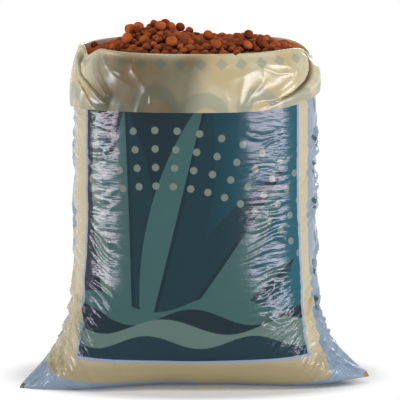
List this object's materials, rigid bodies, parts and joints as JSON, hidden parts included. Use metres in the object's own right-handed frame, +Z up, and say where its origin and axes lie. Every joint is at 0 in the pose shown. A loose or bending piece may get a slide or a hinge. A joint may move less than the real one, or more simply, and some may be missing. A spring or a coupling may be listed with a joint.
{
  "type": "bag of clay pebbles",
  "caption": "Open printed film bag standing upright, its mouth folded out into a cuff, heaped with round fired clay pebbles.",
  "frame": {"origin": "middle of the bag's base, on the floor", "axes": "+Z up, front of the bag faces -Y, +X to the right seen from the front"},
  "size_m": [0.5, 0.2769, 0.5181],
  "materials": {
    "printed_film": "glossy printed film, cream with a teal panel",
    "fired_clay": "matt reddish brown fired clay"
  },
  "bodies": {
    "root": {"bag_film": "printed_film", "pebble_fill": "fired_clay", "pebble_01": "fired_clay", "pebble_02": "fired_clay", "pebble_03": "fired_clay", "pebble_04": "fired_clay", "pebble_05": "fired_clay", "pebble_06": "fired_clay", "pebble_07": "fired_clay", "pebble_08": "fired_clay", "pebble_09": "fired_clay", "pebble_10": "fired_clay", "pebble_11": "fired_clay", "pebble_12": "fired_clay", "pebble_13": "fired_clay", "pebble_14": "fired_clay", "pebble_15": "fired_clay", "pebble_16": "fired_clay", "pebble_17": "fired_clay", "pebble_18": "fired_clay", "pebble_19": "fired_clay", "pebble_20": "fired_clay", "pebble_21": "fired_clay", "pebble_22": "fired_clay", "pebble_23": "fired_clay", "pebble_24": "fired_clay", "pebble_25": "fired_clay", "pebble_26": "fired_clay", "pebble_27": "fired_clay"}
  },
  "joints": []
}
